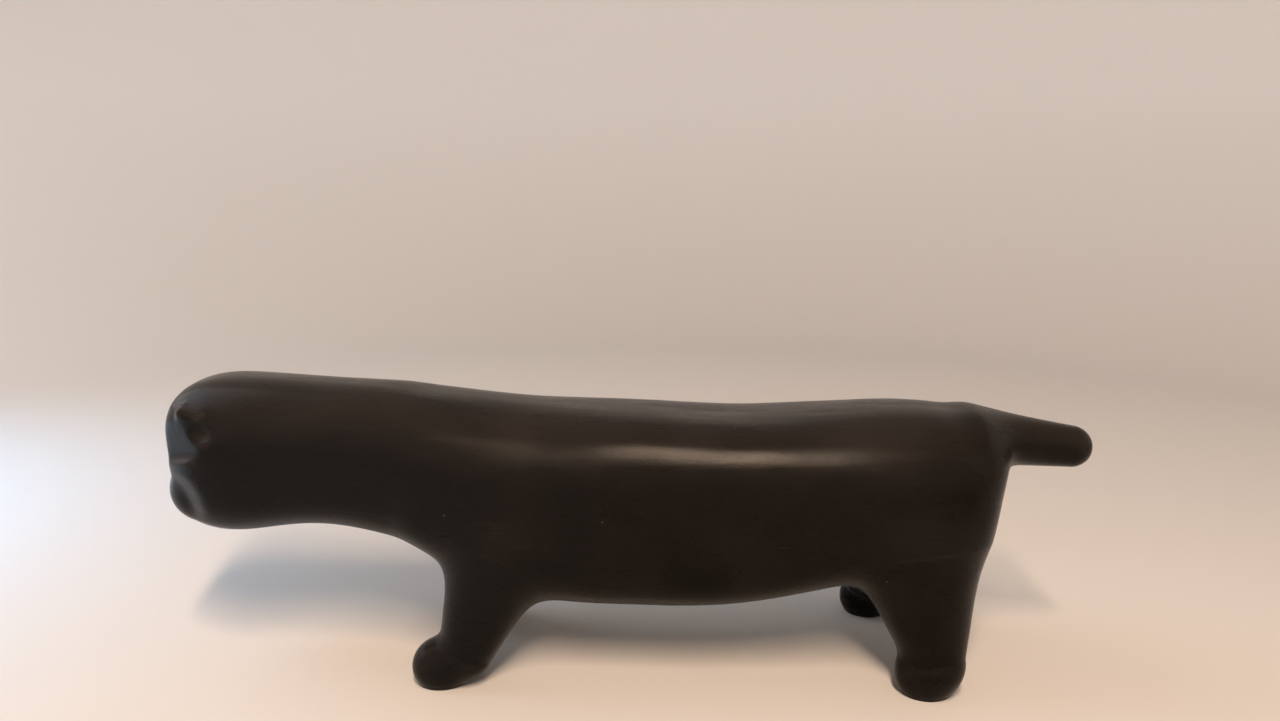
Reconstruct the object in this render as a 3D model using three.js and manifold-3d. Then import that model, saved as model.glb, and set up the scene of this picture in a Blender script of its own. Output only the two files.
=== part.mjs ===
// Cat figurine in burnished black clay, hand-built hollow, standing on four stub legs.
// Millimetres, +Z up, head towards -X, the cat's left flank towards -Y.
// The figure is one smooth sculpted form, cut along the seams where its separately
// formed pieces were luted together: body shell, head shell, muzzle pad, two ears,
// four legs and tail. Legs and tail hold on by pegs, and the head by a collar.
import * as THREE from "three";
import { mergeVertices } from "three/addons/utils/BufferGeometryUtils.js";
import Module from "manifold-3d";

const wasm = await Module();
wasm.setup();

// Lengths along the figure
const headLength = 57.3; // face to neck seam
const bodyLength = 214.2; // neck seam to rump
const tailLength = 24.3; // rump to tip
const shoulderSetback = 41.5; // neck seam to the front legs
const haunchSetback = 27.6; // rear legs to rump
const rightHaunchAdvance = 7; // how far the right rear leg stands ahead of the left
const rumpLean = 9.2; // how far the rump leans in between tail and belly

// Heights above the ground
const crownTop = 93.7;
const neckTop = 91.4;
const shoulderTop = 87;
const waistTop = 82.4;
const haunchTop = 85.4;
const rumpTop = 84.2;
const chinBottom = 41.1;
const throatBottom = 46.2;
const chestBottom = 36.7;
const bellyBottom = 22.9;
const groinBottom = 33.1;

// Half widths and squareness of the sections
const crownHalfWidth = 25;
const neckHalfWidth = 24;
const shoulderHalfWidth = 30.2;
const waistHalfWidth = 30;
const haunchHalfWidth = 30.7;
const rumpHalfWidth = 27;
const endSquareness = 2.5; // of head, shoulders and haunches, 2 being an ellipse
const waistSquareness = 3.4;

// Clay wall, seams and joints
const wall = 7;
const slipGap = 0.3; // the line of slip left between two pieces
const legSeamHeight = 19;
const legPegRadius = 5;
const tailPegRadius = 4;
const pegLength = 8;
const collarLength = 6;
const collarWall = 3;
const ventRadius = 2.5;

// Legs, measured at the ankle and at the hip
const hipHeight = 42;
const frontHipSpread = 16.5; // from the middle plane to the hip's centre
const rearHipSpread = 15;
const ankleHeight = 10;
const frontAnkleSpread = 22.2;
const rearAnkleSpread = 23.8;
const rightRearAnkleSpread = 33.5; // this foot is set further out
const frontHipRadius = 16.6;
const rearHipRadius = 20;
const frontAnkleRadius = 8.7;
const rearAnkleRadius = 8.9;
const frontLegRake = 11; // how far the front ankle stands ahead of its hip
const rearLegRake = -5.3;
const toeLength = 9.2; // half lengths of the foot's egg shape
const toeWidth = 8.2;
const toeHeight = 8.9;
const toeLift = 5.5; // low enough for a broad flat sole
const frontToeReach = 7.8; // the egg's centre ahead of the ankle
const rearToeReach = 2.9;

// Tail
const tailRootRadius = 9;
const tailTipRadius = 6.7;
const tailRootHeight = 75.6;
const tailTipHeight = 72;
const tailSpread = 0.9; // how much broader than high the tail is at its root

// Face
const noseHalfWidth = 12.6;
const cheekAngle = THREE.MathUtils.degToRad(53.5); // cheeks swept back from the nose
const browLean = 5.3; // how far the brow stands ahead of the chin
// Eye hollow: a slanting cut across the cheek that fades out into a ledge below
const eyeSetback = 21.8;
const eyeSpread = 24.7; // from the middle plane
const eyeDrop = 18.8; // below the crown
const eyeFacing = [-0.52, 0.84, -0.16];
const eyeLedgeDrop = 22.2;
const eyeLedgeSlope = 0.25;
const eyeLedgeSoftness = 9;
// Jowl: a second cut below the cheekbone
const jowlSetback = 20;
const jowlSpread = 24.3;
const jowlRise = 19; // above the chin
const jowlFacing = [-0.57, 0.77, -0.28];
const jowlRoofRise = 26.9;
const jowlRoofSoftness = 7;
// Temple: a shallow dish under the ear
const templeSetback = 18.7;
const templeSpread = 26;
const templeDrop = 13.7;
const templeSize = [6, 4.6, 4];
const earSetback = 13.5; // front end of the ear's ridge
const earLength = 5.2; // between the ends of its centre line
const earSpread = 18;
const earFlare = 1.2; // how much further out the rear end lies
const earDrop = 8.7; // below the crown
const earFall = 1.4; // how much lower the rear end lies
const earRadius = 2.3;
const earRoot = 1; // how far the pellet reaches into the head beyond its ridge
const muzzleSetback = 11.5;
const muzzleRise = 16.3; // muzzle's centre above the chin
const muzzleLength = 11.5; // half lengths of the muzzle's egg shape
const muzzleHalfWidth = 16.5;
const muzzleHeight = 12;
const muzzleRoot = 2.5;
const backing = 4; // least clay behind the ears and the muzzle

// Roundness of the blends
const endBlend = 33;
const rumpBlend = 41;
const cheekBlend = 3;
const cutBlend = 1.5; // along the edges of the eye and jowl cuts
const muzzleBlend = 3;
const earBlend = 3.5;
const templeBlend = 2;
const legBlend = 13;
const footBlend = 6;
const tailBlend = 6.5;

// Places worked out from the lengths
const neckSeamX = 0;
const faceX = neckSeamX - headLength;
const rumpX = neckSeamX + bodyLength;
const tailTipX = rumpX + tailLength;
const frontLegX = neckSeamX + shoulderSetback;
const rearLegX = rumpX - haunchSetback;
const tailSeamX = rumpX + 2;

// Sections of the body from face to rump
const sections = [
  [faceX, crownTop + 0.7, chinBottom, crownHalfWidth - 1, endSquareness],
  [faceX + 0.4 * headLength, crownTop, chinBottom + 2.1, crownHalfWidth, endSquareness],
  [neckSeamX - 6, neckTop + 0.6, throatBottom, neckHalfWidth, endSquareness],
  [frontLegX - 24, neckTop - 0.7, throatBottom - 4.2, neckHalfWidth + 1, endSquareness],
  [frontLegX - 12, shoulderTop + 1.9, chestBottom, shoulderHalfWidth - 2.7, endSquareness + 0.1],
  [frontLegX + 18, shoulderTop - 1.3, bellyBottom + 1.5, shoulderHalfWidth, endSquareness + 0.2],
  [frontLegX + 57, waistTop + 1.2, bellyBottom, waistHalfWidth, waistSquareness],
  [rearLegX - 57, waistTop, bellyBottom + 1.5, waistHalfWidth, waistSquareness + 0.1],
  [rearLegX - 8, haunchTop, groinBottom, haunchHalfWidth, endSquareness],
  [rumpX, rumpTop, groinBottom + 0.9, rumpHalfWidth, endSquareness + 0.1],
].map(([x, top, bottom, half, power]) => ({ x, top, bottom, half, power }));

// Smooth curve through one property of the sections.
function along(x, key) {
  const last = sections.length - 1;
  if (x <= sections[0].x) return sections[0][key];
  if (x >= sections[last].x) return sections[last][key];
  let i = 0;
  while (x > sections[i + 1].x) i++;
  const slope = (j) => {
    const before = sections[Math.max(j - 1, 0)];
    const after = sections[Math.min(j + 1, last)];
    return (after[key] - before[key]) / (after.x - before.x);
  };
  const a = sections[i];
  const b = sections[i + 1];
  const span = b.x - a.x;
  const t = (x - a.x) / span;
  return (
    a[key] * (1 + 2 * t) * (1 - t) ** 2 +
    b[key] * t * t * (3 - 2 * t) +
    span * (slope(i) * t * (1 - t) ** 2 - slope(i + 1) * t * t * (1 - t))
  );
}

// Signed distances, negative inside the clay.
function smoothUnion(a, b, blend) {
  const h = Math.max(blend - Math.abs(a - b), 0) / blend;
  return Math.min(a, b) - (h * h * h * blend) / 6;
}

function smoothCommon(a, b, blend) {
  return -smoothUnion(-a, -b, blend);
}

function ovalDistance(y, z, halfWidth, halfHeight, power) {
  const u = Math.abs(y) / halfWidth;
  const v = Math.abs(z) / halfHeight;
  const q = (u ** power + v ** power) ** (1 / power) + 1e-6;
  const gradient = Math.hypot((u / q) ** (power - 1) / halfWidth, (v / q) ** (power - 1) / halfHeight);
  return (q - 1) / Math.max(gradient, 1e-3);
}

function eggDistance(x, y, z, egg) {
  const dx = (x - egg.x) / egg.rx;
  const dy = (y - egg.y) / egg.ry;
  const dz = (z - egg.z) / egg.rz;
  const k = Math.hypot(dx, dy, dz) + 1e-6;
  const gradient = Math.hypot(dx / egg.rx, dy / egg.ry, dz / egg.rz) / k;
  return (k - 1) / Math.max(gradient, 1e-3);
}

// Round limb from a to b, its radius changing from a.r to b.r.
function limbDistance(x, y, z, a, b) {
  const ab = [b.x - a.x, b.y - a.y, b.z - a.z];
  const ap = [x - a.x, y - a.y, z - a.z];
  const length2 = ab[0] ** 2 + ab[1] ** 2 + ab[2] ** 2;
  const t = THREE.MathUtils.clamp((ap[0] * ab[0] + ap[1] * ab[1] + ap[2] * ab[2]) / length2, 0, 1);
  const away = Math.hypot(ap[0] - t * ab[0], ap[1] - t * ab[1], ap[2] - t * ab[2]);
  return away - THREE.MathUtils.lerp(a.r, b.r, t);
}

// The barrel of body, neck and head, closed by the face, the cheeks and the rump.
function barrelDistance(x, y, z) {
  const top = along(x, "top");
  const bottom = along(x, "bottom");
  const middle = (top + bottom) / 2;
  const halfHeight = (top - bottom) / 2;
  const section = ovalDistance(y, z - middle, along(x, "half"), halfHeight, along(x, "power"));
  const lean = (browLean * (z - chinBottom)) / (crownTop - chinBottom);
  const face = faceX + browLean - lean - x;
  const cheek =
    (faceX - x) * Math.cos(cheekAngle) + (Math.abs(y) - noseHalfWidth) * Math.sin(cheekAngle);
  const rumpSlope = rumpLean / (rumpTop - groinBottom);
  const rump = (x - rumpX + (rumpTop - z) * rumpSlope) / Math.hypot(1, rumpSlope);
  const ends = smoothCommon(smoothCommon(section, face, endBlend), cheek, cheekBlend);
  return smoothCommon(ends, rump, rumpBlend);
}

// Distance past a flat cut through a point, on either side of the head.
function beyond(x, y, z, point, facing) {
  return (
    (x - point[0]) * facing[0] + (Math.abs(y) - point[1]) * facing[1] + (z - point[2]) * facing[2]
  );
}

// The barrel with the two cuts that shape the cheeks.
function bareHeadDistance(x, y, z) {
  const jowlPoint = [faceX + jowlSetback, jowlSpread, chinBottom + jowlRise];
  const belowRoof = chinBottom + jowlRoofRise - z;
  const jowl = smoothUnion(beyond(x, y, z, jowlPoint, jowlFacing), belowRoof, jowlRoofSoftness);
  const eyePoint = [faceX + eyeSetback, eyeSpread, crownTop - eyeDrop];
  const aboveLedge = z - (crownTop - eyeLedgeDrop) - (x - eyePoint[0]) * eyeLedgeSlope;
  const eye = smoothUnion(beyond(x, y, z, eyePoint, eyeFacing), aboveLedge, eyeLedgeSoftness);
  return smoothCommon(smoothCommon(barrelDistance(x, y, z), jowl, cutBlend), eye, cutBlend);
}

function muzzleDistance(x, y, z) {
  return eggDistance(x, y, z, muzzleEgg());
}

function earDistance(x, y, z) {
  const front = { x: faceX + earSetback, y: earSpread, z: crownTop - earDrop, r: earRadius };
  const rear = { x: front.x + earLength, y: front.y + earFlare, z: front.z - earFall, r: earRadius };
  return limbDistance(x, Math.abs(y), z, front, rear);
}

function headDistance(x, y, z) {
  const temple = {
    x: faceX + templeSetback,
    y: templeSpread,
    z: crownTop - templeDrop,
    rx: templeSize[0],
    ry: templeSize[1],
    rz: templeSize[2],
  };
  const muzzled = smoothUnion(bareHeadDistance(x, y, z), muzzleDistance(x, y, z), muzzleBlend);
  const eared = smoothUnion(muzzled, earDistance(x, y, z), earBlend);
  return smoothCommon(eared, -eggDistance(x, Math.abs(y), z, temple), templeBlend);
}

const legs = [
  { name: "front_left_leg", flank: -1, x: frontLegX, rake: frontLegRake, reach: frontToeReach },
  { name: "front_right_leg", flank: 1, x: frontLegX, rake: frontLegRake, reach: frontToeReach },
  { name: "rear_left_leg", flank: -1, x: rearLegX, rake: rearLegRake, reach: rearToeReach },
  {
    name: "rear_right_leg",
    flank: 1,
    x: rearLegX - rightHaunchAdvance,
    rake: rearLegRake,
    reach: rearToeReach,
    spread: rightRearAnkleSpread,
  },
].map((leg) => {
  const front = leg.rake > 0;
  const y = leg.flank * (leg.spread ?? (front ? frontAnkleSpread : rearAnkleSpread));
  const hipRadius = front ? frontHipRadius : rearHipRadius;
  const hipSpread = front ? frontHipSpread : rearHipSpread;
  const ankleRadius = front ? frontAnkleRadius : rearAnkleRadius;
  return {
    ...leg,
    hip: { x: leg.x + leg.rake, y: leg.flank * hipSpread, z: hipHeight, r: hipRadius },
    ankle: { x: leg.x, y, z: ankleHeight, r: ankleRadius },
    toe: { x: leg.x - leg.reach, y, z: toeLift, rx: toeLength, ry: toeWidth, rz: toeHeight },
  };
});

function legDistance(x, y, z, leg) {
  return smoothUnion(limbDistance(x, y, z, leg.hip, leg.ankle), eggDistance(x, y, z, leg.toe), footBlend);
}

function tailDistance(x, y, z) {
  const root = { x: rumpX - 14, y: 0, z: tailRootHeight, r: tailRootRadius };
  const tip = { x: tailTipX - tailTipRadius, y: 0, z: tailTipHeight, r: tailTipRadius };
  const share = THREE.MathUtils.clamp((x - root.x) / (tip.x - root.x), 0, 1);
  return limbDistance(x, y / (1 + tailSpread * (1 - share) ** 2), z, root, tip);
}

function bodyDistance(x, y, z) {
  let distance = barrelDistance(x, y, z);
  for (const leg of legs) distance = smoothUnion(distance, legDistance(x, y, z, leg), legBlend);
  return smoothUnion(distance, tailDistance(x, y, z), tailBlend);
}

// The pellets that ears and muzzle are made of, larger than what stands proud of the head.
function earEgg(flank, grow = 0) {
  return {
    x: faceX + earSetback + earLength / 2,
    y: flank * (earSpread + earFlare / 2),
    z: crownTop - earDrop - earFall / 2,
    rx: earLength / 2 + earRadius + earRoot + grow,
    ry: earRadius + earRoot + grow,
    rz: earRadius + earFall / 2 + earRoot + grow,
  };
}

function muzzleEgg(grow = 0) {
  return {
    x: faceX + muzzleSetback,
    y: 0,
    z: chinBottom + muzzleRise,
    rx: muzzleLength + grow,
    ry: muzzleHalfWidth + grow,
    rz: muzzleHeight + grow,
  };
}

// Skins the zero surface of a distance function with quads, one vertex in each grid
// cell that the surface crosses, and pulls the vertices onto the surface. A form that
// runs past the grid is shut off flat just inside its edge.
function sculpt(shape, low, high, cell) {
  const distance = (x, y, z) =>
    Math.max(shape(x, y, z), ...[x, y, z].flatMap((v, a) => [low[a] + cell - v, v - high[a] + cell]));
  const count = low.map((v, i) => Math.ceil((high[i] - v) / cell));
  const start = low.map((v, i) => (v + high[i] - count[i] * cell) / 2);
  const step = [1, count[0] + 1, (count[0] + 1) * (count[1] + 1)];
  const at = (i, j, k) => i + j * step[1] + k * step[2];
  const place = (i, j, k) => [start[0] + i * cell, start[1] + j * cell, start[2] + k * cell];
  const values = new Float64Array(step[2] * (count[2] + 1));
  for (let k = 0; k <= count[2]; k++)
    for (let j = 0; j <= count[1]; j++)
      for (let i = 0; i <= count[0]; i++) values[at(i, j, k)] = distance(...place(i, j, k));

  const positions = [];
  const vertexOf = new Map();
  for (let k = 0; k < count[2]; k++)
    for (let j = 0; j < count[1]; j++)
      for (let i = 0; i < count[0]; i++) {
        const crossings = edgeCrossings(values, at(i, j, k), step);
        if (!crossings.length) continue;
        const mean = [0, 1, 2].map((a) => crossings.reduce((s, c) => s + c[a], 0) / crossings.length);
        const point = [i, j, k].map((v, a) => start[a] + (v + mean[a]) * cell);
        vertexOf.set(at(i, j, k), positions.length / 3);
        positions.push(...ontoSurface(distance, point, cell));
      }

  const index = [];
  for (let k = 1; k < count[2]; k++)
    for (let j = 1; j < count[1]; j++)
      for (let i = 1; i < count[0]; i++) {
        const here = at(i, j, k);
        for (let a = 0; a < 3; a++) {
          const inside = values[here] < 0;
          if (inside === values[here + step[a]] < 0) continue;
          const b = step[(a + 1) % 3];
          const c = step[(a + 2) % 3];
          const [p, q, r, s] = [here - b - c, here - c, here, here - b].map((n) => vertexOf.get(n));
          index.push(...(inside ? [p, q, r, p, r, s] : [p, r, q, p, s, r]));
        }
      }
  return new THREE.BufferGeometry()
    .setAttribute("position", new THREE.Float32BufferAttribute(positions, 3))
    .setIndex(index);
}

// Where the surface crosses the twelve edges of one grid cell, in shares of the cell.
function edgeCrossings(values, base, step) {
  const found = [];
  for (let a = 0; a < 3; a++)
    for (let b = 0; b < 2; b++)
      for (let c = 0; c < 2; c++) {
        const from = base + b * step[(a + 1) % 3] + c * step[(a + 2) % 3];
        const v0 = values[from];
        const v1 = values[from + step[a]];
        if (v0 < 0 === v1 < 0) continue;
        const point = [0, 0, 0];
        point[a] = v0 / (v0 - v1);
        point[(a + 1) % 3] = b;
        point[(a + 2) % 3] = c;
        found.push(point);
      }
  return found;
}

function ontoSurface(distance, point, cell) {
  const p = [...point];
  const e = 0.01;
  for (let pass = 0; pass < 3; pass++) {
    const here = distance(...p);
    const slope = [0, 1, 2].map((a) => {
      const moved = [...p];
      moved[a] += e;
      return (distance(...moved) - here) / e;
    });
    const steep = Math.max(slope[0] ** 2 + slope[1] ** 2 + slope[2] ** 2, 0.1);
    for (let a = 0; a < 3; a++) {
      const moved = p[a] - (here * slope[a]) / steep;
      p[a] = THREE.MathUtils.clamp(moved, point[a] - cell / 2, point[a] + cell / 2);
    }
  }
  return p;
}

// Closed geometry to solid and back, so that pieces can be joined and cut.
function solid(geometry) {
  const bare = geometry.clone();
  bare.deleteAttribute("normal");
  bare.deleteAttribute("uv");
  const merged = mergeVertices(bare, 1e-4);
  return new wasm.Manifold(
    new wasm.Mesh({
      numProp: 3,
      vertProperties: new Float32Array(merged.attributes.position.array),
      triVerts: new Uint32Array(merged.index.array),
    }),
  );
}

function geometryOf(piece) {
  const mesh = piece.getMesh();
  return new THREE.BufferGeometry()
    .setAttribute("position", new THREE.BufferAttribute(mesh.vertProperties, 3))
    .setIndex(new THREE.BufferAttribute(mesh.triVerts, 1));
}

function block(low, high) {
  const size = high.map((v, i) => v - low[i]);
  const middle = high.map((v, i) => (v + low[i]) / 2);
  return solid(new THREE.BoxGeometry(...size).translate(...middle));
}

function uprightPeg(x, y, z0, z1, radius) {
  const peg = new THREE.CylinderGeometry(radius, radius, z1 - z0, 24).rotateX(Math.PI / 2);
  return solid(peg.translate(x, y, (z0 + z1) / 2));
}

function lengthwisePeg(x0, x1, z, radius) {
  const peg = new THREE.CylinderGeometry(radius, radius, x1 - x0, 24).rotateZ(Math.PI / 2);
  return solid(peg.translate((x0 + x1) / 2, 0, z));
}

// An oval tube along X with the neck's section, taken in by the outer and inner insets.
function collarTube(x0, x1, outerInset, innerInset) {
  const top = along(neckSeamX, "top");
  const bottom = along(neckSeamX, "bottom");
  const half = along(neckSeamX, "half");
  const power = along(neckSeamX, "power");
  const oval = (Kind, inset) => {
    const points = [];
    for (let i = 0; i < 48; i++) {
      const turn = (i / 48) * 2 * Math.PI;
      const y = Math.sign(Math.cos(turn)) * Math.abs(Math.cos(turn)) ** (2 / power);
      const z = Math.sign(Math.sin(turn)) * Math.abs(Math.sin(turn)) ** (2 / power);
      points.push(new THREE.Vector2(y * (half - inset), z * ((top - bottom) / 2 - inset)));
    }
    return new Kind(points);
  };
  const ring = oval(THREE.Shape, outerInset);
  if (innerInset) ring.holes.push(oval(THREE.Path, innerInset));
  const tube = new THREE.ExtrudeGeometry(ring, { depth: x1 - x0, bevelEnabled: false });
  // The drawing plane's X becomes +Y, its Y becomes +Z and the extrusion runs along +X.
  tube.applyMatrix4(
    new THREE.Matrix4().makeBasis(
      new THREE.Vector3(0, 1, 0),
      new THREE.Vector3(0, 0, 1),
      new THREE.Vector3(1, 0, 0),
    ),
  );
  return solid(tube.translate(x0, 0, (top + bottom) / 2));
}

// Room round the figure, for the cutting blocks and the grids.
const room = 12;
const side = rightRearAnkleSpread + rearAnkleRadius + room;

function bodyShell() {
  const low = [neckSeamX - room, -side, legSeamHeight - room];
  const high = [rumpX + room, side, neckTop + room];
  const keep = block([neckSeamX, -side, legSeamHeight], [tailSeamX, side, high[2]]);
  const hollow = (x, y, z) => barrelDistance(x, y, z) + wall;
  let shell = solid(sculpt(bodyDistance, low, high, 6))
    .intersect(keep)
    .subtract(solid(sculpt(hollow, low, high, 8)));
  for (const leg of legs) {
    const spot = legSeamCentre(leg);
    const top = legSeamHeight + pegLength + slipGap;
    shell = shell.subtract(uprightPeg(spot.x, spot.y, legSeamHeight - 1, top, legPegRadius + slipGap));
  }
  const seatStart = tailSeamX - pegLength - slipGap;
  const seat = lengthwisePeg(seatStart, tailSeamX + 1, tailRootHeight, tailPegRadius + slipGap);
  const ventX = (frontLegX + rearLegX) / 2;
  const vent = uprightPeg(ventX, 0, bellyBottom - 5, bellyBottom + wall + 8, ventRadius);
  const mouth = collarTube(neckSeamX - 1, neckSeamX + collarLength + slipGap, wall, 0);
  return shell.subtract(seat).subtract(vent).subtract(mouth);
}

function headShell() {
  const low = [faceX - room, -crownHalfWidth - room, chinBottom - room];
  const high = [neckSeamX + room, crownHalfWidth + room, crownTop + room];
  const keep = block(low, [neckSeamX, high[1], high[2]]);
  // The hollow keeps clear of the seats of the ears and the muzzle.
  const hollow = (x, y, z) => {
    const muzzleClear = muzzleRoot + backing - muzzleDistance(x, y, z);
    const earClear = earRoot + backing - earDistance(x, y, z);
    const clear = smoothCommon(muzzleClear, earClear, 6);
    return smoothCommon(barrelDistance(x, y, z) + wall + 1, clear, 6);
  };
  const inner = wall + slipGap + collarWall;
  const cavity = solid(sculpt(hollow, low, high, 5)).intersect(
    block(low, [neckSeamX - collarLength, high[1], high[2]]),
  );
  let shell = solid(sculpt(headDistance, low, high, 2.5))
    .intersect(keep)
    .subtract(cavity)
    .subtract(collarTube(neckSeamX - collarLength - 1, neckSeamX + 1, inner, 0))
    .add(collarTube(neckSeamX - 1, neckSeamX + collarLength, wall + slipGap, inner));
  for (const flank of [-1, 1]) shell = shell.subtract(egg(earEgg(flank, slipGap)));
  return shell.subtract(egg(muzzleEgg(muzzleRoot + slipGap)));
}

// An egg-shaped ball of clay.
function egg(shape) {
  const ball = new THREE.SphereGeometry(1, 28, 18).scale(shape.rx, shape.ry, shape.rz);
  return solid(ball.translate(shape.x, shape.y, shape.z));
}

// A pellet pressed onto the head, its outside sculpted in one with the head's.
function pelletPiece(shape) {
  const margin = 4;
  const low = [shape.x - shape.rx, shape.y - shape.ry, shape.z - shape.rz].map((v) => v - margin);
  const high = [shape.x + shape.rx, shape.y + shape.ry, shape.z + shape.rz].map((v) => v + margin);
  return solid(sculpt(headDistance, low, high, 1.5)).intersect(egg(shape));
}

// The leg's centre where the seam cuts it.
function legSeamCentre(leg) {
  const t = (hipHeight - legSeamHeight) / (hipHeight - ankleHeight);
  return {
    x: THREE.MathUtils.lerp(leg.hip.x, leg.ankle.x, t),
    y: THREE.MathUtils.lerp(leg.hip.y, leg.ankle.y, t),
  };
}

function legPiece(leg) {
  const margin = 24;
  const spot = legSeamCentre(leg);
  const low = [spot.x - margin - leg.reach, leg.flank < 0 ? -side : 0, -6];
  const high = [spot.x + margin, leg.flank < 0 ? 0 : side, legSeamHeight + 6];
  const keep = block([low[0], low[1], 0], [high[0], high[1], legSeamHeight]);
  const peg = uprightPeg(spot.x, spot.y, legSeamHeight - 2, legSeamHeight + pegLength, legPegRadius);
  return solid(sculpt(bodyDistance, low, high, 3)).intersect(keep).add(peg);
}

function tailPiece() {
  const low = [tailSeamX - 8, -tailRootRadius - 8, tailTipHeight - tailRootRadius - 12];
  const high = [tailTipX + 6, tailRootRadius + 8, tailRootHeight + tailRootRadius + 8];
  const keep = block([tailSeamX, low[1], low[2]], high);
  const peg = lengthwisePeg(tailSeamX - pegLength, tailSeamX + 2, tailRootHeight, tailPegRadius);
  return solid(sculpt(bodyDistance, low, high, 3)).intersect(keep).add(peg);
}

const blackClay = { color: 0x1d1916, roughness: 0.5, metalness: 0 };

function clayMesh(name, piece) {
  const mesh = new THREE.Mesh(geometryOf(piece), new THREE.MeshStandardMaterial(blackClay));
  mesh.name = name;
  return mesh;
}

const cat = new THREE.Group();
cat.add(clayMesh("body_shell", bodyShell()));
cat.add(clayMesh("head_shell", headShell()));
cat.add(clayMesh("muzzle_pad", pelletPiece(muzzleEgg(muzzleRoot))));
cat.add(clayMesh("left_ear", pelletPiece(earEgg(-1))));
cat.add(clayMesh("right_ear", pelletPiece(earEgg(1))));
for (const leg of legs) cat.add(clayMesh(leg.name, legPiece(leg)));
cat.add(clayMesh("tail", tailPiece()));

// The frame's origin is on the ground under the middle of the bounding box.
const box = new THREE.Box3().setFromObject(cat);
cat.position.set(-(box.min.x + box.max.x) / 2, -(box.min.y + box.max.y) / 2, 0);

export default cat;
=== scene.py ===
import math
import bpy
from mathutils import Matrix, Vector


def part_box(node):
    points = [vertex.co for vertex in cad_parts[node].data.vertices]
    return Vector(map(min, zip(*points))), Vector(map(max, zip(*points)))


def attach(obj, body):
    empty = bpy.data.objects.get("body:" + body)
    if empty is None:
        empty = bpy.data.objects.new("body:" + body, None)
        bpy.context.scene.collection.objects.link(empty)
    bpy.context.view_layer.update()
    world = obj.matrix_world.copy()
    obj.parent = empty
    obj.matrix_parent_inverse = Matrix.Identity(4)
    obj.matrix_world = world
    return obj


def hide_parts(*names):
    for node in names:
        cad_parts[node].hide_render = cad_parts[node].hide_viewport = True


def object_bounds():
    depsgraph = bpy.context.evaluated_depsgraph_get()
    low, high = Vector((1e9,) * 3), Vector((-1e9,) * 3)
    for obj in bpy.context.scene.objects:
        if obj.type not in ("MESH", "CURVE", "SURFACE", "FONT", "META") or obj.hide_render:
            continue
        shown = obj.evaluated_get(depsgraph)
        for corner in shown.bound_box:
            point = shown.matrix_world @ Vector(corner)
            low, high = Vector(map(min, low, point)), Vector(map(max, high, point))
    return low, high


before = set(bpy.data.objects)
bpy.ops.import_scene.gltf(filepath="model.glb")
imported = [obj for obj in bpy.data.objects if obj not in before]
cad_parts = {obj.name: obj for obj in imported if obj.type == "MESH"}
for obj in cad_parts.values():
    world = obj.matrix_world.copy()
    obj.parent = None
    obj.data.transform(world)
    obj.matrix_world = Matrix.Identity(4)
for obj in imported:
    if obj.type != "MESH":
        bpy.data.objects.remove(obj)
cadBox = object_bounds()
scene = bpy.context.scene
scene.view_settings.view_transform = "Standard"

bodyLow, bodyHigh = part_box("body_shell")
headLow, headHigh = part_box("head_shell")
neckX = bodyLow.x  # seam between head and body
tailX = bodyHigh.x  # seam between body and tail
legSeam = bodyLow.z  # height of the seams in the legs
middleY = (headLow.y + headHigh.y) / 2  # the middle plane of head, body and tail
soleZ = cadBox[0].z
perMetre = 1000  # millimetres
mm = 1 / perMetre
tiny = 1e-6  # keeps a divisor above zero
leastSlope = 1e-3
origin = (0.0, 0.0, 0.0)


class Num:
    # a socket that adds, multiplies and divides like a number, one Math node each time
    def __init__(self, tree, socket):
        self.tree, self.socket = tree, socket

    def calc(self, operation, *others):
        made = self.tree.nodes.new("ShaderNodeMath")
        made.operation = operation
        for slot, value in zip(made.inputs, (self, *others)):
            plug(self.tree, value, slot)
        return Num(self.tree, made.outputs[0])

    def __add__(self, other):
        return self.calc("ADD", other)

    def __sub__(self, other):
        return self.calc("SUBTRACT", other)

    def __rsub__(self, other):
        return -self + other

    def __mul__(self, other):
        return self.calc("MULTIPLY", other)

    def __truediv__(self, other):
        return self.calc("DIVIDE", other)

    def __pow__(self, other):
        return self.calc("POWER", other)

    def __neg__(self):
        return self.calc("MULTIPLY", -1)

    def __abs__(self):
        return self.calc("ABSOLUTE")

    def rootOf(self):
        return self.calc("SQRT")

    def atLeast(self, other):
        return self.calc("MAXIMUM", other)

    def unit(self):
        # held between 0 and 1
        made = self.calc("ADD", 0)
        made.socket.node.use_clamp = True
        return made


def plug(tree, value, slot):
    if isinstance(value, Num):
        tree.links.new(value.socket, slot)
    elif isinstance(value, bpy.types.NodeSocket):
        tree.links.new(value, slot)
    else:
        slot.default_value = value


def newTree(name, sockets):
    tree = bpy.data.node_groups.new(name, "GeometryNodeTree")
    kinds = {float: "NodeSocketFloat", tuple: "NodeSocketVector"}
    for label, value in sockets.items():
        socket = tree.interface.new_socket(label, in_out="INPUT", socket_type=kinds[type(value)])
        socket.default_value = value
    tree.nodes.new("NodeGroupInput")
    tree.nodes.new("NodeGroupOutput")
    return tree


def given(tree, label):
    socket = tree.nodes["Group Input"].outputs[label]
    return Num(tree, socket) if socket.type == "VALUE" else socket


def giveOut(tree, label, distance):
    tree.interface.new_socket(label, in_out="OUTPUT", socket_type="NodeSocketFloat")
    tree.links.new(distance.socket, tree.nodes["Group Output"].inputs[label])


def node(tree, kind, inputs=None, **settings):
    made = tree.nodes.new(kind)
    for key, value in settings.items():
        setattr(made, key, value)
    for label, value in (inputs or {}).items():
        plug(tree, value, made.inputs[label])
    return made


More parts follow.
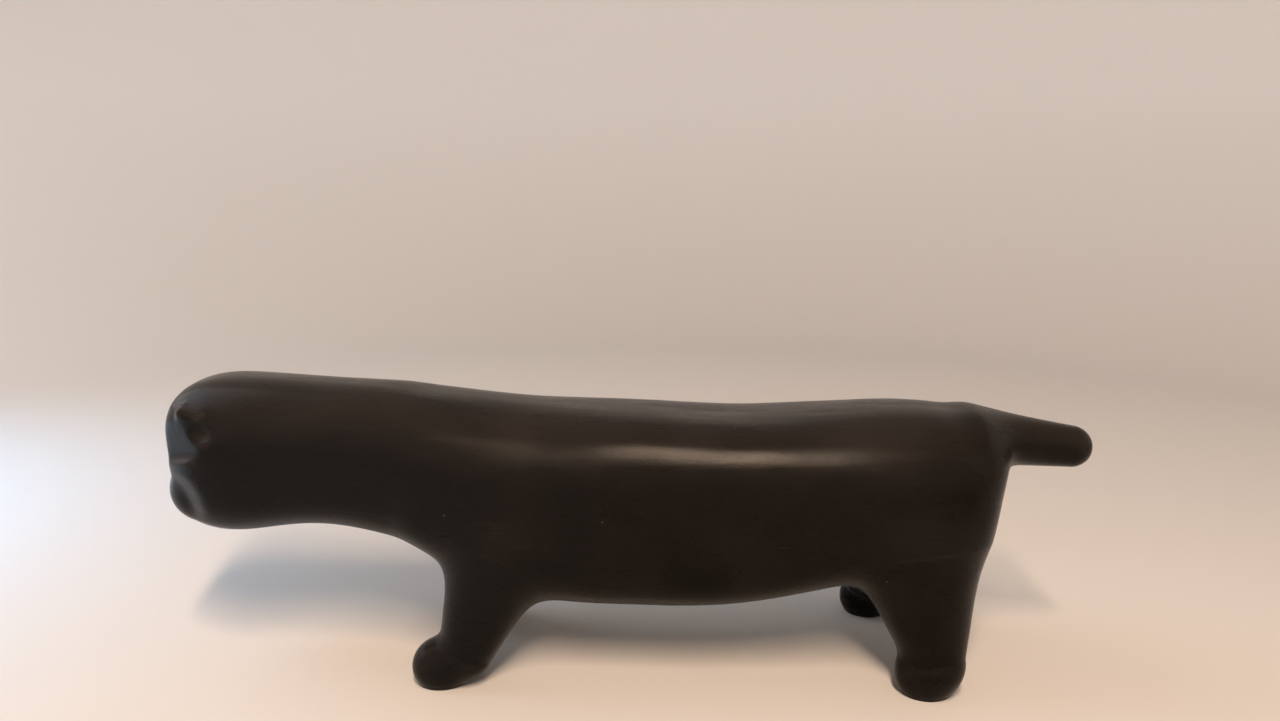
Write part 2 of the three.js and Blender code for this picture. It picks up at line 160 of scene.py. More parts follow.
def vectorMath(tree, operation, a, b=None, scale=None):
    made = tree.nodes.new("ShaderNodeVectorMath")
    made.operation = operation
    plug(tree, a, made.inputs[0])
    if b is not None:
        plug(tree, b, made.inputs[1])
    if scale is not None:
        plug(tree, scale, made.inputs["Scale"])
    plain = operation in ("DOT_PRODUCT", "LENGTH")
    return Num(tree, made.outputs["Value"]) if plain else made.outputs["Vector"]


def parts(tree, vector):
    made = node(tree, "ShaderNodeSeparateXYZ", {0: vector})
    return [Num(tree, made.outputs[i]) for i in range(3)]


def vector(tree, x, y, z):
    return node(tree, "ShaderNodeCombineXYZ", {0: x, 1: y, 2: z}).outputs[0]


def spaced(name):
    # camelCase name of a size, as the label of its socket
    return "".join(" " + c if c.isupper() else c for c in name).title()


def useGroup(tree, group, **inputs):
    made = tree.nodes.new("GeometryNodeGroup")
    made.node_tree = group
    for label, value in inputs.items():
        plug(tree, value, made.inputs[spaced(label)])
    return made


def distanceTo(tree, group, **inputs):
    return Num(tree, useGroup(tree, group, **inputs).outputs["Distance"])


def onMesh(tree, kind, shape, inputs=None, **settings):
    return node(tree, kind, {"Geometry": shape, **(inputs or {})}, **settings).outputs[0]


# The form's sizes are in millimetres, x counted from the neck seam, z from the ground.
def spotAt(x, y, z):
    return (neckX + x * mm, middleY + y * mm, soleZ + z * mm)


def eggForm():
    # distance to an egg, negative inside
    tree = newTree("egg", {"Place": origin, "Centre": origin, "Size": (1.0, 1.0, 1.0)})
    away = vectorMath(tree, "SUBTRACT", given(tree, "Place"), given(tree, "Centre"))
    spot = vectorMath(tree, "DIVIDE", away, given(tree, "Size"))
    k = vectorMath(tree, "LENGTH", spot) + tiny
    steep = vectorMath(tree, "LENGTH", vectorMath(tree, "DIVIDE", spot, given(tree, "Size"))) / k
    giveOut(tree, "Distance", (k - 1) / steep.atLeast(leastSlope))
    return tree


def limbForm():
    # distance to a round limb from one end to the other, with a radius for each
    tree = newTree("limb", {"Place": origin, "Start": origin, "End": (1.0, 0.0, 0.0),
                            "Start Radius": 1.0, "End Radius": 1.0})
    start = given(tree, "Start")
    run = vectorMath(tree, "SUBTRACT", given(tree, "End"), start)
    away = vectorMath(tree, "SUBTRACT", given(tree, "Place"), start)
    share = (vectorMath(tree, "DOT_PRODUCT", away, run) / vectorMath(tree, "DOT_PRODUCT", run, run)).unit()
    beside = vectorMath(tree, "SUBTRACT", away, vectorMath(tree, "SCALE", run, scale=share))
    grown = given(tree, "End Radius") - given(tree, "Start Radius")
    radius = given(tree, "Start Radius") + grown * share
    giveOut(tree, "Distance", vectorMath(tree, "LENGTH", beside) - radius)
    return tree


egg = eggForm()
limb = limbForm()

barrel = {
    "faceX": -57.3, "rumpX": 214.2,
    "browLean": 5.3, "rumpLean": 9.2,
    "noseHalfWidth": 12.6, "cheekAngle": 53.5,
    "endBlend": 33.0, "cheekBlend": 3.0, "rumpBlend": 41.0,
}
# x, top, bottom, half width and squareness from face to rump; a squareness of 2 is an ellipse
sections = [
    (-57.3, 94.4, 41.1, 24, 2.5),
    (-34.38, 93.7, 43.2, 25, 2.5),
    (-6, 92.0, 46.2, 24, 2.5),
    (17.5, 90.7, 42.0, 25, 2.5),
    (29.5, 88.9, 36.7, 27.5, 2.6),
    (59.5, 85.7, 24.4, 30.2, 2.7),
    (98.5, 83.6, 22.9, 30, 3.4),
    (129.6, 82.4, 24.4, 30, 3.5),
    (178.6, 85.4, 33.1, 30.7, 2.5),
    (214.2, 84.2, 34.0, 27, 2.6),
]


def along(x, column):
    # smooth curve through one column of the sections
    last = len(sections) - 1
    i = max(j for j in range(last) if j == 0 or x >= sections[j][0])

    def slope(j):
        before, after = sections[max(j - 1, 0)], sections[min(j + 1, last)]
        return (after[column] - before[column]) / (after[0] - before[0])

    a, b = sections[i], sections[i + 1]
    span = b[0] - a[0]
    t = min(max((x - a[0]) / span, 0), 1)
    return (a[column] * (1 + 2 * t) * (1 - t) ** 2 + b[column] * t * t * (3 - 2 * t)
            + span * (slope(i) * t * (1 - t) ** 2 - slope(i + 1) * t * t * (1 - t)))


def profile(tree, share, column, scale=100, points=58):
    # one column of the sections as a curve over the barrel's length; scale keeps it below 1
    made = tree.nodes.new("ShaderNodeFloatCurve")
    curve = made.mapping.curves[0]
    for k in range(points):
        x = barrel["faceX"] + (barrel["rumpX"] - barrel["faceX"]) * k / (points - 1)
        spot = (k / (points - 1), along(x, column) / scale)
        if k == 0:
            curve.points[0].location = spot
        elif k == points - 1:
            curve.points[-1].location = spot
        else:
            curve.points.new(*spot)
    made.mapping.update()
    tree.links.new(share.socket, made.inputs["Value"])
    return Num(tree, made.outputs[0]) * scale


def barrelForm():
    # body, neck and head as one rounded bar: its sections, closed by face, cheeks and rump
    tree = newTree("barrel", {"Place": origin, **{spaced(k): v for k, v in barrel.items()}})
    s = {k: given(tree, spaced(k)) for k in barrel}
    x, y, z = parts(tree, given(tree, "Place"))
    share = ((x - s["faceX"]) / (s["rumpX"] - s["faceX"])).unit()
    top, bottom, half = (profile(tree, share, column) for column in (1, 2, 3))
    halfHeight = (top - bottom) * 0.5
    u = abs(y) / half
    v = abs(z - (top + bottom) * 0.5) / halfHeight
    power = profile(tree, share, 4, scale=10)
    q = (u ** power + v ** power) ** (power ** -1) + tiny
    steepY = (u / q) ** (power - 1) / half
    steepZ = (v / q) ** (power - 1) / halfHeight
    section = (q - 1) / (steepY * steepY + steepZ * steepZ).rootOf().atLeast(leastSlope)
    crown, chin, rumpTop, groin = sections[1][1], sections[0][2], sections[-1][1], sections[-2][2]
    face = s["faceX"] + s["browLean"] - s["browLean"] * ((z - chin) / (crown - chin)) - x
    turn = s["cheekAngle"].calc("RADIANS")
    cheek = ((s["faceX"] - x) * turn.calc("COSINE")
             + (abs(y) - s["noseHalfWidth"]) * turn.calc("SINE"))
    lean = s["rumpLean"] / (rumpTop - groin)
    rump = (x - s["rumpX"] + (rumpTop - z) * lean) / (lean * lean + 1).rootOf()
    ends = section.calc("SMOOTH_MAX", face, s["endBlend"]).calc("SMOOTH_MAX", cheek, s["cheekBlend"])
    giveOut(tree, "Distance", ends.calc("SMOOTH_MAX", rump, s["rumpBlend"]))
    return tree


barrelGroup = barrelForm()

# slanting cuts across both cheeks: a point on the cut, the way it faces, and where it fades out
eyeCut = {
    "point": (-35.5, 24.7, 74.9), "facing": (-0.52, 0.84, -0.16),
    "ledge": 71.5, "slope": 0.25, "fade": 9.0,
}
jowlCut = {
    "point": (-37.3, 24.3, 60.1), "facing": (-0.57, 0.77, -0.28),
    "roof": 68.0, "fade": 7.0,
}
cutBlend = 1.5


def beyond(tree, place, cut):
    # distance past a flat cut
    away = vectorMath(tree, "SUBTRACT", place, cut["point"])
    return vectorMath(tree, "DOT_PRODUCT", away, cut["facing"])


def cutCheeks(tree, form, oneSide):
    # the jowl is cut back below its roof, and the eye above its sloping ledge
    x, _, z = parts(tree, oneSide)
    jowl = beyond(tree, oneSide, jowlCut).calc("SMOOTH_MIN", jowlCut["roof"] - z, jowlCut["fade"])
    overLedge = z - eyeCut["ledge"] - (x - eyeCut["point"][0]) * eyeCut["slope"]
    eye = beyond(tree, oneSide, eyeCut).calc("SMOOTH_MIN", overLedge, eyeCut["fade"])
    return form.calc("SMOOTH_MAX", jowl, cutBlend).calc("SMOOTH_MAX", eye, cutBlend)


muzzle = {"centre": (-45.8, 0.0, 57.4), "size": (11.5, 16.5, 12.0), "root": 2.5, "blend": 3.0}
ear = {
    "front": (-43.8, 18.0, 85.0), "rear": (-38.6, 19.2, 83.6),
    "radius": 2.3, "root": 1.0, "blend": 3.5,
}
templeDish = {"centre": (-38.6, 26.0, 80.0), "size": (6.0, 4.6, 4.0), "blend": 2.0}


def addFeatures(tree, form, oneSide):
    # muzzle and ear pressed on, and a shallow dish sunk at the temple
    chin = distanceTo(tree, egg, place=oneSide, centre=muzzle["centre"], size=muzzle["size"])
    form = form.calc("SMOOTH_MIN", chin, muzzle["blend"])
    ridge = distanceTo(tree, limb, place=oneSide, start=ear["front"], end=ear["rear"],
                       startRadius=ear["radius"], endRadius=ear["radius"])
    form = form.calc("SMOOTH_MIN", ridge, ear["blend"])
    dish = distanceTo(tree, egg, place=oneSide, centre=templeDish["centre"], size=templeDish["size"])
    return form.calc("SMOOTH_MAX", -dish, templeDish["blend"])


# x and spread say where the ankle stands, rake how far behind it the hip lies, reach the toe before it
frontLeg = {
    "x": 41.5, "rake": 11.0, "hipSpread": 16.5, "hipRadius": 16.6,
    "spread": 22.2, "ankleRadius": 8.7, "reach": 7.8,
}
rearLeg = {
    "x": 186.6, "rake": -5.3, "hipSpread": 15.0, "hipRadius": 20.0,
    "spread": 23.8, "ankleRadius": 8.9, "reach": 2.9,
}
legs = {
    "front_left_leg": dict(frontLeg, side=-1),
    "front_right_leg": dict(frontLeg, side=1),
    "rear_left_leg": dict(rearLeg, side=-1),
    "rear_right_leg": dict(rearLeg, side=1, x=179.6, spread=33.5),
}
legShape = {
    "hipHeight": 42.0, "ankleHeight": 10.0,
    "toeSize": (9.2, 8.2, 8.9), "toeLift": 5.5, "footBlend": 6.0, "legBlend": 13.0,
}


def addLeg(tree, form, place, leg):
    hip = (leg["x"] + leg["rake"], leg["side"] * leg["hipSpread"], legShape["hipHeight"])
    ankle = (leg["x"], leg["side"] * leg["spread"], legShape["ankleHeight"])
    toe = (leg["x"] - leg["reach"], ankle[1], legShape["toeLift"])
    shank = distanceTo(tree, limb, place=place, start=hip, end=ankle,
                       startRadius=leg["hipRadius"], endRadius=leg["ankleRadius"])
    paw = distanceTo(tree, egg, place=place, centre=toe, size=legShape["toeSize"])
    whole = shank.calc("SMOOTH_MIN", paw, legShape["footBlend"])
    return form.calc("SMOOTH_MIN", whole, legShape["legBlend"])


tail = {
    "root": (200.2, 0.0, 75.6), "tip": (231.8, 0.0, 72.0),
    "rootRadius": 9.0, "tipRadius": 6.7, "broadening": 0.9, "blend": 6.5,
}


def addTail(tree, form, place):
    # a stub that is broader than high at its root
    x, y, z = parts(tree, place)
    share = ((x - tail["root"][0]) / (tail["tip"][0] - tail["root"][0])).unit()
    broad = (1 - share) ** 2 * tail["broadening"] + 1
    stub = distanceTo(tree, limb, place=vector(tree, x, y / broad, z), start=tail["root"],
                      end=tail["tip"], startRadius=tail["rootRadius"], endRadius=tail["tipRadius"])
    return form.calc("SMOOTH_MIN", stub, tail["blend"])


# unevenness left by the hand: height in millimetres and patches per metre along and across
handMarks = [
    dict(height=0.42, scale=(30, 34, 34), seed=2.0),
    dict(height=0.16, scale=(34, 95, 95), seed=7.0),
]


def addHandMarks(tree, form, position):
    for mark in handMarks:
        stretched = vectorMath(tree, "MULTIPLY", position, mark["scale"])
        inputs = {"Vector": stretched, "W": mark["seed"], "Scale": 1.0, "Detail": 1.0}
        uneven = node(tree, "ShaderNodeTexNoise", inputs, noise_dimensions="4D")
        form = form + (Num(tree, uneven.outputs[0]) - 0.5) * (2 * mark["height"])
    return form


def catForm():
    # the whole figure: distance to its outside, and to the plain bar that the hollow follows
    tree = newTree("catForm", {"Position": origin})
    position = given(tree, "Position")
    fromNeck = vectorMath(tree, "SUBTRACT", position, spotAt(0, 0, 0))
    place = vectorMath(tree, "SCALE", fromNeck, scale=perMetre)
    x, y, z = parts(tree, place)
    oneSide = vector(tree, x, abs(y), z)  # both flanks folded onto one
    plain = cutCheeks(tree, distanceTo(tree, barrelGroup, place=place), oneSide)
    form = addFeatures(tree, plain, oneSide)
    for leg in legs.values():
        form = addLeg(tree, form, place, leg)
    form = addTail(tree, form, place)
    giveOut(tree, "Distance", addHandMarks(tree, form, position))
    giveOut(tree, "Plain", plain)
    return tree


cat = catForm()
print("form trees built")

shell = {"wall": 7.0, "bodyCell": 1.0, "headCell": 0.5}
smallCell = 0.5  # legs, tail and pellets
# the belly's hole; depth is counted both ways from z, and the mouth is rounded
vent = {"x": 114.1, "z": 25.0, "radius": 2.5, "depth": 9.0, "mouth": 0.9}


def clayForm(tree, position, wall, vented):
    # the clay of one piece: inside the outside, and for a shell outside its hollow and vent
    whole = useGroup(tree, cat, position=position)
    form = Num(tree, whole.outputs["Distance"])
    if wall:
        form = form.atLeast(-(Num(tree, whole.outputs["Plain"]) + wall))
    if vented:
        fromVent = vectorMath(tree, "SUBTRACT", position, spotAt(vent["x"], 0, vent["z"]))
        x, y, z = parts(tree, fromVent)
        bore = (x * x + y * y).rootOf() * perMetre - vent["radius"]
        bore = bore.atLeast(abs(z) * perMetre - vent["depth"])
        form = form.calc("SMOOTH_MAX", -bore, vent["mouth"])
    return form


def skin(tree, form):
    # the surface of a form within the box Low to High, on a grid of the given cell
    low, high, cell = given(tree, "Low"), given(tree, "High"), given(tree, "Cell")
    reach = vectorMath(tree, "SUBTRACT", high, low)
    counts = parts(tree, vectorMath(tree, "DIVIDE", reach, vector(tree, cell, cell, cell)))
    grid = {"Resolution " + axis: count.calc("CEIL") for axis, count in zip("XYZ", counts)}
    block = node(tree, "GeometryNodeVolumeCube",
                 {"Density": -form, "Background": -1.0, "Min": low, "Max": high, **grid})
    return node(tree, "GeometryNodeVolumeToMesh", {"Volume": block.outputs[0], "Threshold": 0.0},
                resolution_mode="GRID").outputs[0]


def boxMesh(tree):
    # the box Keep Low to Keep High
    low, high = given(tree, "Keep Low"), given(tree, "Keep High")
    cube = node(tree, "GeometryNodeMeshCube", {"Size": vectorMath(tree, "SUBTRACT", high, low)})
    middle = vectorMath(tree, "SCALE", vectorMath(tree, "ADD", low, high), scale=0.5)
    return onMesh(tree, "GeometryNodeTransform", cube.outputs[0], {"Translation": middle})


def ballMesh(tree, ball, segments=96, rings=64):
    made = node(tree, "GeometryNodeMeshUVSphere", {"Segments": segments, "Rings": rings, "Radius": 1.0})
    return onMesh(tree, "GeometryNodeTransform", made.outputs[0],
                  {"Translation": ball["centre"], "Scale": ball["size"]})


def proudness(tree, position, reach=0.0014):
    # how strongly the form swells out at a point, in turns per millimetre; hollows are negative
    total = distanceTo(tree, cat, position=position) * -6
    for axis in range(3):
        for way in (-reach, reach):
            step = tuple(way if a == axis else 0.0 for a in range(3))
            beside = vectorMath(tree, "ADD", position, step)
            total = total + distanceTo(tree, cat, position=beside)
    return total / (reach * perMetre) ** 2


def upwardness(tree, position, reach=0.0004):
    # how far the outside faces up at a point, from -1 to 1, the same on both sides of a seam
    above, below = (vectorMath(tree, "ADD", position, (0.0, 0.0, way)) for way in (reach, -reach))
    rise = distanceTo(tree, cat, position=above) - distanceTo(tree, cat, position=below)
    return rise / (2 * reach * perMetre)


def dressed(tree, shape, position, sharpFrom=0.7):
    # smooth shading with sharp seams, the two attributes that the clay reads, and the clay
    shape = onMesh(tree, "GeometryNodeSetShadeSmooth", shape)
    angle = Num(tree, tree.nodes.new("GeometryNodeInputMeshEdgeAngle").outputs[0])
    sharp = {"Shade Smooth": False, "Selection": angle.calc("GREATER_THAN", sharpFrom)}
    shape = onMesh(tree, "GeometryNodeSetShadeSmooth", shape, sharp, domain="EDGE")
    for label, value in (("proud", proudness(tree, position)), ("upward", upwardness(tree, position))):
        stored = {"Name": label, "Value": value}
        shape = onMesh(tree, "GeometryNodeStoreNamedAttribute", shape, stored)
    shape = onMesh(tree, "GeometryNodeRealizeInstances", shape)
    return onMesh(tree, "GeometryNodeSetMaterial", shape, {"Material": given(tree, "Clay")})


def pieceTree(name, wall=0.0, vented=False, seats=(), pellet=None):
    # one piece of the figure: the clay skinned inside a box and cut at its seams
    sockets = {"Low": origin, "High": origin, "Cell": 0.0005}
    if not pellet:
        sockets.update({"Keep Low": origin, "Keep High": origin})
    tree = newTree(name, sockets)
    tree.interface.new_socket("Clay", in_out="INPUT", socket_type="NodeSocketMaterial")
    tree.interface.new_socket("Mesh", in_out="OUTPUT", socket_type="NodeSocketGeometry")
    position = tree.nodes.new("GeometryNodeInputPosition").outputs[0]
    raw = skin(tree, clayForm(tree, position, wall, vented))
    cut = node(tree, "GeometryNodeMeshBoolean", {"Mesh 2": raw}, operation="INTERSECT", solver="MANIFOLD")
    plug(tree, ballMesh(tree, pellet) if pellet else boxMesh(tree), cut.inputs["Mesh 2"])
    shape = cut.outputs[0]
    for seat in seats:
        shape = node(tree, "GeometryNodeMeshBoolean", {"Mesh 1": shape, "Mesh 2": ballMesh(tree, seat)},
                     operation="DIFFERENCE", solver="MANIFOLD").outputs[0]
    shape = dressed(tree, shape, position)
    tree.links.new(shape, tree.nodes["Group Output"].inputs["Mesh"])
    return tree


def spread(value, low, high, toLow=0.0, toHigh=1.0):
    # the range from low to high stretched to another one, and held at its ends
    made = node(value.tree, "ShaderNodeMapRange", {"Value": value, "From Min": low, "From Max": high,
                                                   "To Min": toLow, "To Max": toHigh})
    return Num(value.tree, made.outputs[0])


def mix(tree, share, a, b):
    made = node(tree, "ShaderNodeMix", data_type="RGBA")
    for slot, value in zip((0, 6, 7), (share, a, b)):  # its factor and its two colours
        plug(tree, value, made.inputs[slot])
    return made.outputs[2]


def objectPlace(tree):
    return tree.nodes.new("ShaderNodeTexCoord").outputs["Object"]


def noise(tree, scale, detail, stretch=(1, 1, 1)):
    mapped = node(tree, "ShaderNodeMapping", {"Vector": objectPlace(tree), "Scale": stretch})
    made = node(tree, "ShaderNodeTexNoise",
                {"Vector": mapped.outputs[0], "Scale": scale, "Detail": detail})
    return Num(tree, made.outputs[0])


def fromMesh(tree, label):
    return Num(tree, node(tree, "ShaderNodeAttribute", attribute_name=label).outputs["Fac"])


# the ranges that hold most of a noise's values
mostNoise = (0.3, 0.7)
midNoise = (0.35, 0.65)
# patches per metre and detail; the strokes are stretched, for the pebble was drawn lengthwise
patches = {
    "cloud": (45, 4), "rubbing": (300, 4), "topLightPatches": (24, 5),
    "strokes": (1, 3, (35, 240, 240)), "grain": (1900, 2), "dimples": (420, 3),
}
# the colours, from the clay up to the dust on it and the painted light on head and tops, and the values
# between which each sets in
burnish = {
    "refraction": 1.5, "specularLevel": 0.10,
    "darkClay": (0.0024, 0.0015, 0.0010, 1), "lightClay": (0.0052, 0.0036, 0.0027, 1),
    # the grey head colour next is a painted cool reflection on shoulders and head
    "headClay": (0.0056, 0.0055, 0.0060, 1), "headShare": 0.85, "headFrom": (110.0, 10.0),
    "wornClay": (0.020, 0.017, 0.015, 1), "wornFrom": (0.10, 0.45), "wornLeast": 0.2,
    "hollowDust": (0.011, 0.0085, 0.007, 1), "hollowFrom": (-0.04, -0.30), "hollowShare": 0.5,
    # the top colour next is painted light, lighter where the surface faces up
    "topPaintedLight": (0.024, 0.020, 0.018, 1), "topFrom": (0.1, 0.9), "topLeast": 0.55,
    "speck": (0.11, 0.10, 0.09, 1), "speckCells": 190.0, "speckEdge": (0.055, 0.03),
    "speckRarity": 0.93,
    "strokeRoughness": (0.24, 0.31), "cloudRoughness": (-0.03, 0.04), "dustRoughness": 0.3,
    "wornPolish": 0.05, "soleFrom": (1.6, 0.4), "soleRoughness": 0.3,
    "bumpStrength": 0.17, "bumpHeight": 0.3, "grainShare": 0.35, "strokeShare": 0.9, "dimpleShare": 0.4,
}


# the clay's own colour, wear, dust and specks, with painted light on head and tops
def clayColourAndPaintedLight(tree, cloud, worn, dusty):
    colour = mix(tree, spread(cloud, *midNoise), burnish["darkClay"], burnish["lightClay"])
    fromNeck = [neckX + x * mm for x in burnish["headFrom"]]
    grey = spread(parts(tree, objectPlace(tree))[0], *fromNeck) * burnish["headShare"]
    colour = mix(tree, grey, colour, burnish["headClay"])  # painted cool reflection: shoulders and head turn greyer, standing in for cool light mirrored on them
    colour = mix(tree, worn, colour, burnish["wornClay"])
    colour = mix(tree, dusty, colour, burnish["hollowDust"])
    # painted light: surfaces facing up are lightened in patches, standing in for the bright room mirrored
    # from above
    paintedTopLight = spread(fromMesh(tree, "upward"), *burnish["topFrom"])
    paintedTopLight = paintedTopLight * spread(noise(tree, *patches["topLightPatches"]), *mostNoise, burnish["topLeast"])
    colour = mix(tree, paintedTopLight, colour, burnish["topPaintedLight"])
    cells = node(tree, "ShaderNodeTexVoronoi",
                 {"Vector": objectPlace(tree), "Scale": burnish["speckCells"]})
    near = spread(Num(tree, cells.outputs["Distance"]), *burnish["speckEdge"])
    pick = Num(tree, node(tree, "ShaderNodeSeparateColor", {0: cells.outputs["Color"]}).outputs[0])
    return mix(tree, near * pick.calc("GREATER_THAN", burnish["speckRarity"]), colour, burnish["speck"])


def clayRoughness(tree, cloud, strokes, worn, dusty):
    rough = (spread(strokes, *mostNoise, *burnish["strokeRoughness"])
             + spread(cloud, *mostNoise, *burnish["cloudRoughness"]))
    rough = rough + dusty * burnish["dustRoughness"] - worn * burnish["wornPolish"]
    soleEdge = [soleZ + z * mm for z in burnish["soleFrom"]]
    sole = spread(parts(tree, objectPlace(tree))[2], *soleEdge)
    return rough + sole * burnish["soleRoughness"]  # soles are left unburnished


def newMaterial(name):
    material = bpy.data.materials.new(name)
    material.use_nodes = True
    return material, material.node_tree, material.node_tree.nodes["Principled BSDF"]


def burnishedClay(name):
    material, tree, shader = newMaterial(name)
    proud = fromMesh(tree, "proud")
    cloud = noise(tree, *patches["cloud"])
    strokes = noise(tree, *patches["strokes"])
    rubbing = spread(noise(tree, *patches["rubbing"]), *midNoise, burnish["wornLeast"])
    worn = spread(proud, *burnish["wornFrom"]) * rubbing
    dusty = spread(proud, *burnish["hollowFrom"]) * burnish["hollowShare"]
    shader.inputs["IOR"].default_value = burnish["refraction"]
    shader.inputs["Specular IOR Level"].default_value = burnish["specularLevel"]
    plug(tree, clayColourAndPaintedLight(tree, cloud, worn, dusty), shader.inputs["Base Color"])
    plug(tree, clayRoughness(tree, cloud, strokes, worn, dusty), shader.inputs["Roughness"])
    relief = (noise(tree, *patches["grain"]) * burnish["grainShare"] + strokes * burnish["strokeShare"]
              + noise(tree, *patches["dimples"]) * burnish["dimpleShare"])
    bump = node(tree, "ShaderNodeBump", {"Height": relief, "Strength": burnish["bumpStrength"],
                                         "Distance": burnish["bumpHeight"] * mm})
    plug(tree, bump.outputs[0], shader.inputs["Normal"])
    return material


clay = burnishedClay("burnishedBlackClay")
coarse = 1
pastSkin = 10 * mm  # how far a cutting box reaches past the skin where there is no seam
pieces = {}


def makePiece(solid, name, tree, cell, **sizes):
    piece = bpy.data.objects.new(name, bpy.data.meshes.new(name))
    scene.collection.objects.link(piece)
    modifier = piece.modifiers.new("form", "NODES")
    modifier.node_group = tree
    ids = {s.name: s.identifier for s in tree.interface.items_tree if s.in_out == "INPUT"}
    for label, value in {**sizes, "cell": cell * mm * coarse, "clay": clay}.items():
        modifier[ids[spaced(label)]] = value
    seen = piece.evaluated_get(bpy.context.evaluated_depsgraph_get())
    made = bpy.data.meshes.new_from_object(seen)
    piece.modifiers.remove(modifier)
    piece.data = made
    made.name = name
    pieces[solid] = piece
    print(name + ":", len(made.polygons), "faces")


def boxed(low, high, **seams):
    # the box that is skinned, and the one that is cut from it: up to its seams, else past the skin
    low, high = spotAt(*low), spotAt(*high)
    keepLow, keepHigh = [v - pastSkin for v in low], [v + pastSkin for v in high]
    for end, place in seams.items():
        corner = keepHigh if end.endswith("High") else keepLow
        corner["xyz".index(end[0])] = place
    return dict(low=low, high=high, keepLow=tuple(keepLow), keepHigh=tuple(keepHigh))


def seatOf(centre, size):
    return {"centre": spotAt(*centre), "size": tuple(r * mm for r in size)}


def earSeat(side):
    front, rear = ear["front"], ear["rear"]
    x, y, z = ((a + b) / 2 for a, b in zip(front, rear))
    reach = ear["radius"] + ear["root"]
    size = ((rear[0] - front[0]) / 2 + reach, reach, (front[2] - rear[2]) / 2 + reach)
    return seatOf((x, side * y, z), size)


def muzzleSeat():
    return seatOf(muzzle["centre"], [r + muzzle["root"] for r in muzzle["size"]])


bodyTree = pieceTree("bodyTree", wall=shell["wall"], vented=True)
headTree = pieceTree("headTree", wall=shell["wall"], seats=(earSeat(-1), earSeat(1), muzzleSeat()))
limbTree = pieceTree("limbTree")

bodyBox = boxed((-3, -37, 14), (219, 43, 94), xLow=neckX, xHigh=tailX, zLow=legSeam)
makePiece("body_shell", "bodyShell", bodyTree, shell["bodyCell"], **bodyBox)
headBox = boxed((-61, -29, 41), (3, 29, 96), xHigh=neckX)
makePiece("head_shell", "headShell", headTree, shell["headCell"], **headBox)

pellets = {"muzzle_pad": muzzleSeat(), "left_ear": earSeat(-1), "right_ear": earSeat(1)}
pelletNames = {"muzzle_pad": "muzzlePad", "left_ear": "leftEar", "right_ear": "rightEar"}
pelletMargin = 2 * mm
for solid, seat in pellets.items():
    low, high = (tuple(c + way * (s + pelletMargin) for c, s in zip(seat["centre"], seat["size"]))
                 for way in (-1, 1))
    pelletTree = pieceTree(pelletNames[solid] + "Tree", pellet=seat)
    makePiece(solid, pelletNames[solid], pelletTree, smallCell, low=low, high=high)

# how far the boxes round a leg reach from its toe and ankle, and from the middle plane
legReach = {"front": 24, "back": 26, "inner": 4, "outer": 47, "below": 3, "above": 22}
for solid, leg in legs.items():
    inner, outer = sorted((leg["side"] * legReach["inner"], leg["side"] * legReach["outer"]))
    low = (leg["x"] - leg["reach"] - legReach["front"], inner, -legReach["below"])
    high = (leg["x"] + legReach["back"], outer, legReach["above"])
    first, *rest = solid.split("_")
    makePiece(solid, first + "".join(word.title() for word in rest), limbTree, smallCell,
              **boxed(low, high, zLow=soleZ, zHigh=legSeam))

tailBox = boxed((206, -18, 56), (243, 18, 96), xLow=tailX)
makePiece("tail", "tailStub", limbTree, smallCell, **tailBox)

for solid, piece in pieces.items():
    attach(piece, "root")
    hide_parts(solid)

stage = {
    "radius": 0.95, "cove": 0.35, "height": 0.75, "spokes": 96, "coveSteps": 16,
    "floorPaint": (0.70, 0.68, 0.66, 1), "wallPaint": (0.79, 0.80, 0.82, 1), "wallPaintFrom": 0.25,
    "roughness": 0.9,
}


def stageMesh():
    # a round floor that curves up into a wall
    flat, spokes = stage["radius"] - stage["cove"], stage["spokes"]
    line = [(flat * 0.5, 0.0), (flat, 0.0)]
    for k in range(1, stage["coveSteps"] + 1):
        turn = k / stage["coveSteps"] * math.pi / 2
        line.append((flat + stage["cove"] * math.sin(turn), stage["cove"] * (1 - math.cos(turn))))
    line.append((stage["radius"], stage["height"]))
    points, faces = [(0.0, 0.0, soleZ)], []
    for r, z in line:
        for i in range(spokes):
            turn = i / spokes * 2 * math.pi
            points.append((r * math.cos(turn), r * math.sin(turn), soleZ + z))
    for i in range(spokes):
        faces.append((0, 1 + i, 1 + (i + 1) % spokes))
    for k in range(len(line) - 1):
        inner, outer = 1 + k * spokes, 1 + (k + 1) * spokes
        for i in range(spokes):
            j = (i + 1) % spokes
            faces.append((inner + i, outer + i, outer + j, inner + j))
    mesh = bpy.data.meshes.new("studioFloor")
    mesh.from_pydata(points, [], faces)
    for face in mesh.polygons:
        face.use_smooth = True
    return mesh


def paleFloor():
    # a little cooler and lighter up the wall
    material, tree, shader = newMaterial("paleFloor")
    rise = spread(parts(tree, objectPlace(tree))[2], 0.0, stage["wallPaintFrom"])
    plug(tree, mix(tree, rise, stage["floorPaint"], stage["wallPaint"]), shader.inputs["Base Color"])
    shader.inputs["Roughness"].default_value = stage["roughness"]
    return material


floor = bpy.data.objects.new("studioFloor", stageMesh())
scene.collection.objects.link(floor)
floor.data.materials.append(paleFloor())
print("stage built")

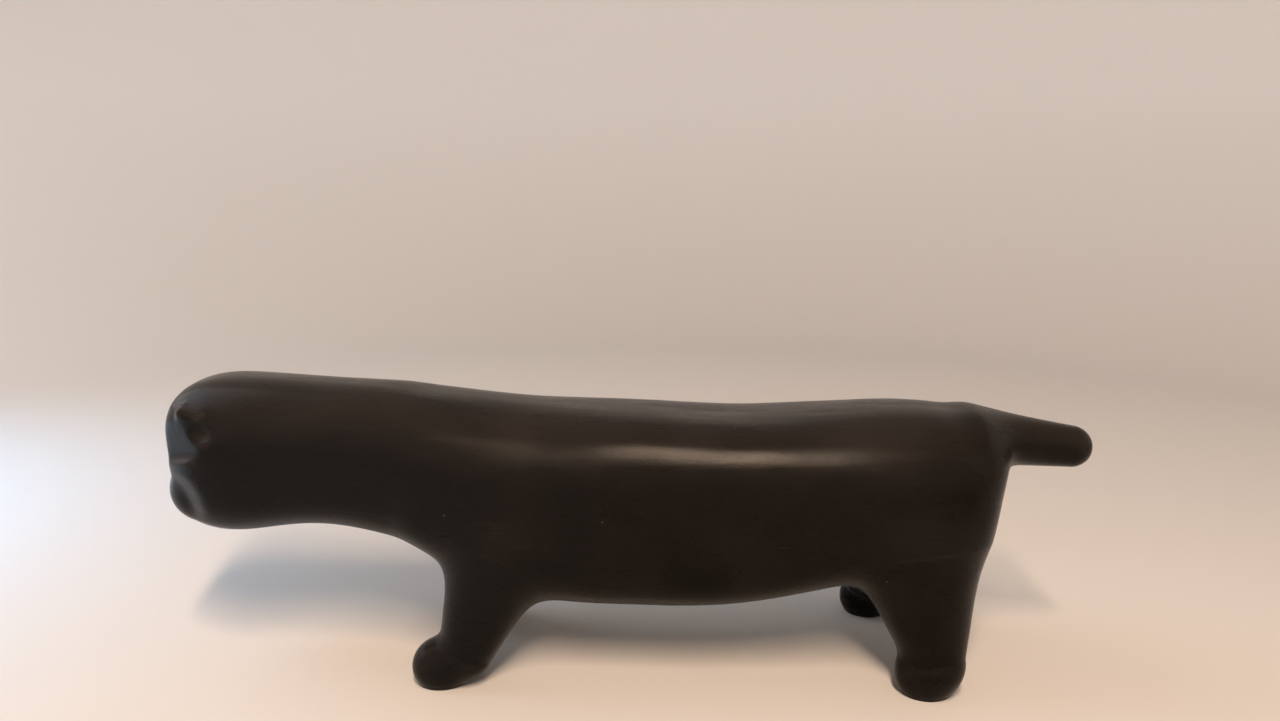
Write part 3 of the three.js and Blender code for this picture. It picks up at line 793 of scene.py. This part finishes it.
lamps = {
    # a cool pool on the floor before the face, which the cheeks mirror
    "windowLamp": dict(place=(-0.60, 0.05, 0.45), aim=(-0.48, 0.03, 0.0), size=(0.30, 0.30),
                       watts=0.70, colour=(0.30, 0.62, 1.0), cone=60),
    # broad daylight on crown and back
    "skyLamp": dict(place=(-0.72, 0.16, 0.52), aim=(-0.15, 0.0, 0.06), size=(0.60, 0.85),
                    watts=2.6, colour=(0.90, 0.94, 1.0), cone=180),
    # warm and narrow, for the strip of light along the flank
    "keyLamp": dict(place=(0.05, -0.56, 0.73), aim=(0, 0, 0.03), size=(0.06, 0.40),
                    watts=8.2, colour=(1.0, 0.74, 0.54), cone=180),
}


def areaLamp(name, place, aim, size, watts, colour, cone):
    lamp = bpy.data.lights.new(name, "AREA")
    lamp.shape = "RECTANGLE"
    lamp.size, lamp.size_y = size
    lamp.energy = watts
    lamp.color = colour
    lamp.spread = math.radians(cone)
    made = bpy.data.objects.new(name, lamp)
    made.location = place
    made.rotation_euler = (Vector(aim) - Vector(place)).to_track_quat("-Z", "Y").to_euler()
    scene.collection.objects.link(made)


for name, lamp in lamps.items():
    areaLamp(name, **lamp)

daylight = {"colour": (0.86, 0.83, 0.81, 1), "strength": 0.22}
world = bpy.data.worlds.new("studio")
scene.world = world
world.use_nodes = True
world.node_tree.nodes["Background"].inputs["Color"].default_value = daylight["colour"]
world.node_tree.nodes["Background"].inputs["Strength"].default_value = daylight["strength"]

# place in metres from the neck seam, the middle plane and the ground; down and turn in degrees
shot = {
    "place": (0.10516, -0.29931, 0.15426), "down": 10.498, "turn": 1.903,
    "lens": 27.0, "sensorWidth": 36, "nearest": 0.01,
}
camera = bpy.data.objects.new("camera", bpy.data.cameras.new("camera"))
camera.data.lens = shot["lens"]
camera.data.sensor_width = shot["sensorWidth"]
camera.data.clip_start = shot["nearest"]
camera.location = Vector((neckX, middleY, 0)) + Vector(shot["place"])
camera.rotation_euler = (math.radians(90 - shot["down"]), 0, math.radians(shot["turn"]))
scene.collection.objects.link(camera)
scene.camera = camera

print("finished")
